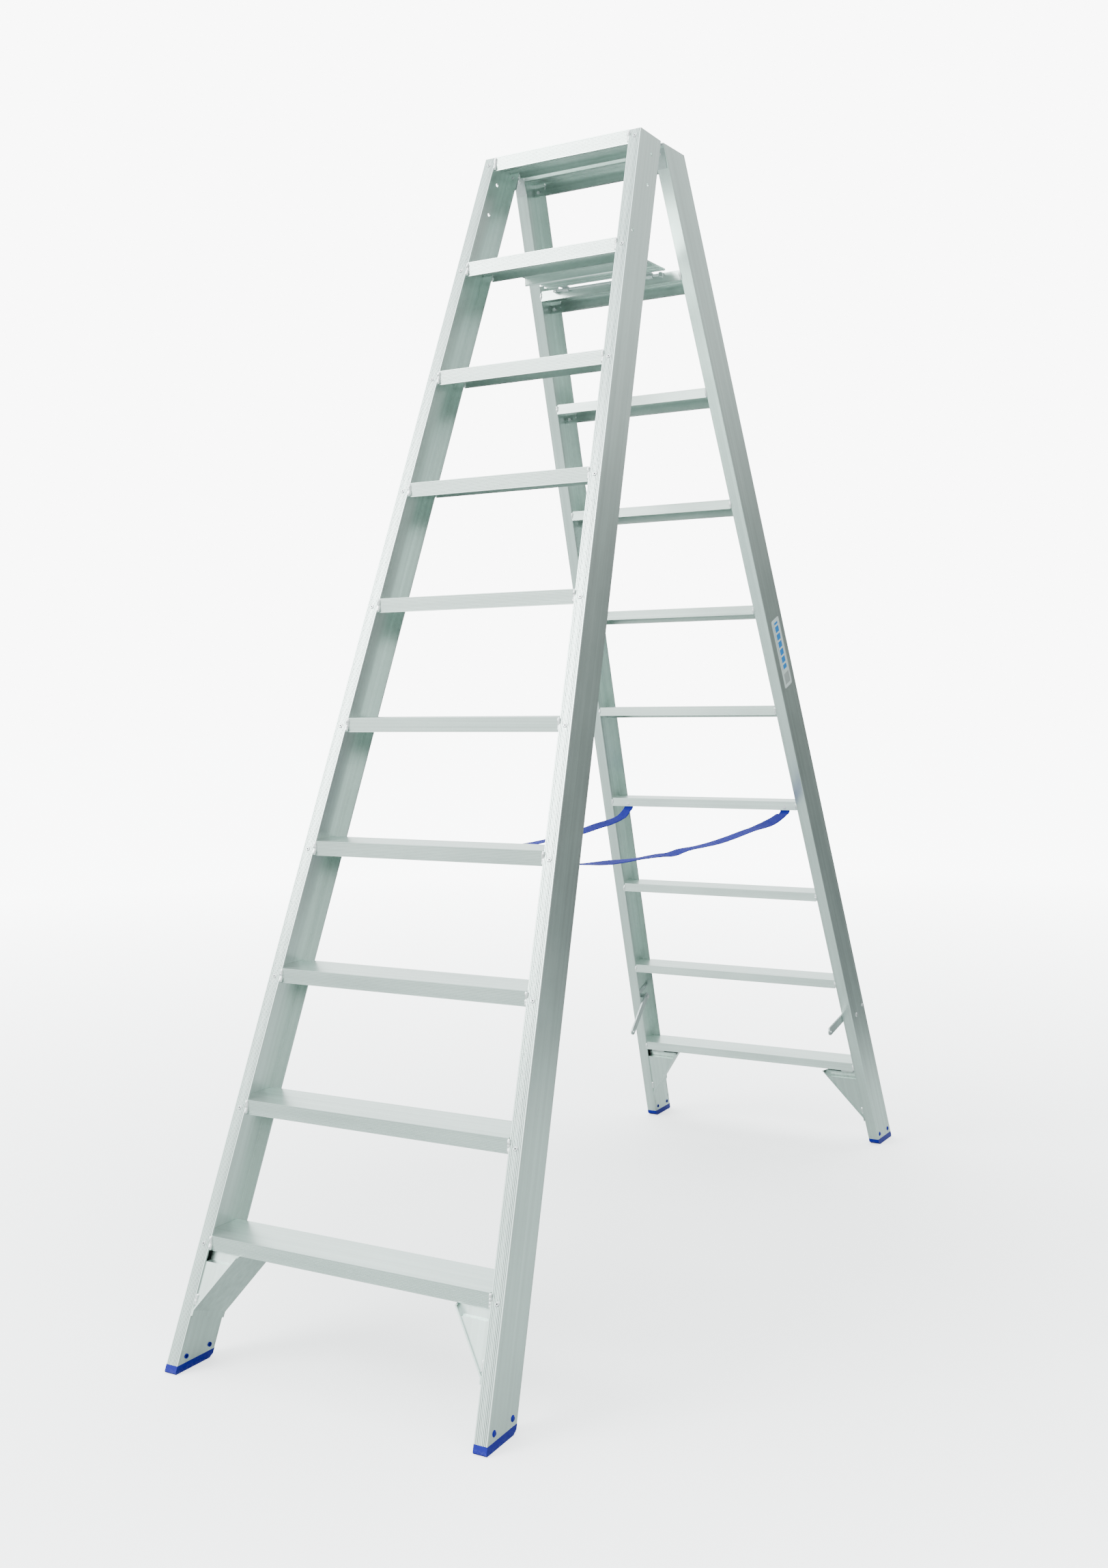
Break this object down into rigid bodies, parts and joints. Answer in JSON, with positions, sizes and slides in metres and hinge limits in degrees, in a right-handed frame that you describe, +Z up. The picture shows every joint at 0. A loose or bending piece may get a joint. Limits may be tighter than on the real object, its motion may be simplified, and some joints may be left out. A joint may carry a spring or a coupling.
{
  "type": "double-sided step ladder",
  "caption": "Tall aluminium A-frame step ladder with channel treads on both sides, blue foot caps, two webbing straps, a flap shelf near the top and swinging locking arms.",
  "frame": {"origin": "centre of the overall box at floor level, midway between the front and rear feet and between the left and right feet", "axes": "+Z up, -Y towards the front frame, +X to the right seen from the front"},
  "size_m": [0.6914, 2.063, 2.35],
  "materials": {
    "aluminium": "satin extruded mill finish with fine lengthwise grain",
    "zinc_steel": "zinc-plated",
    "rivet_alloy": "smooth",
    "blue_plastic": "moulded, slightly rough",
    "webbing": "woven polyester webbing"
  },
  "bodies": {
    "front_frame": {"front_stile_left": "aluminium", "front_stile_right": "aluminium", "front_tread_1": "aluminium", "front_tread_2": "aluminium", "front_tread_3": "aluminium", "front_tread_4": "aluminium", "front_tread_5": "aluminium", "front_tread_6": "aluminium", "front_tread_7": "aluminium", "front_tread_8": "aluminium", "front_tread_9": "aluminium", "front_top_tread": "aluminium", "front_foot_left": "blue_plastic", "front_insert_left": "aluminium", "front_brace_left": "aluminium", "front_hinge_leaf_left": "zinc_steel", "front_foot_right": "blue_plastic", "front_insert_right": "aluminium", "front_brace_right": "aluminium", "front_hinge_leaf_right": "zinc_steel", "front_tread_rivets": "rivet_alloy", "front_foot_pins": "blue_plastic", "front_hinge_rivets": "rivet_alloy", "front_strap_rivets": "rivet_alloy", "strap_left": "webbing", "strap_right": "webbing"},
    "rear_frame": {"rear_stile_left": "aluminium", "rear_stile_right": "aluminium", "rear_tread_1": "aluminium", "rear_tread_2": "aluminium", "rear_tread_3": "aluminium", "rear_tread_4": "aluminium", "rear_tread_5": "aluminium", "rear_tread_6": "aluminium", "rear_tread_7": "aluminium", "rear_tread_8": "aluminium", "rear_tread_9": "aluminium", "rear_top_tread": "aluminium", "rear_foot_left": "blue_plastic", "rear_insert_left": "aluminium", "rear_brace_left": "aluminium", "rear_hinge_leaf_left": "zinc_steel", "rear_foot_right": "blue_plastic", "rear_insert_right": "aluminium", "rear_brace_right": "aluminium", "rear_hinge_leaf_right": "zinc_steel", "rear_tread_rivets": "rivet_alloy", "rear_foot_pins": "blue_plastic", "rear_hinge_rivets": "rivet_alloy", "rear_strap_rivets": "rivet_alloy", "hinge_pins": "zinc_steel", "shelf_rod": "zinc_steel", "shelf_lugs": "aluminium", "latch_brackets": "zinc_steel", "latch_bolts": "rivet_alloy"},
    "shelf": {"shelf_plate": "aluminium", "shelf_clips": "aluminium"},
    "latch_arm_left": {"latch_arm_left": "zinc_steel"},
    "latch_arm_right": {"latch_arm_right": "zinc_steel"}
  },
  "joints": [
    {"name": "fold", "type": "hinge", "parent": "front_frame", "child": "rear_frame", "pos_m": [0, 0, 2.345], "axis": [-1, 0, 0], "range_deg": [0, 42.5], "deforming": ["strap_left", "strap_right"]},
    {"name": "shelf_flap", "type": "hinge", "parent": "rear_frame", "child": "shelf", "pos_m": [0, 0.09549, 2.11], "axis": [-1, 0, 0], "range_deg": [0, 68]},
    {"name": "latch_left_swing", "type": "hinge", "parent": "rear_frame", "child": "latch_arm_left", "pos_m": [-0.28799, 0.82263, 0.36917], "axis": [-0.998, -0.0233, 0.0589], "range_deg": [-27, 46]},
    {"name": "latch_right_swing", "type": "hinge", "parent": "rear_frame", "child": "latch_arm_right", "pos_m": [0.28799, 0.82263, 0.36917], "axis": [-0.998, 0.0233, -0.0589], "range_deg": [-63, 11]}
  ]
}
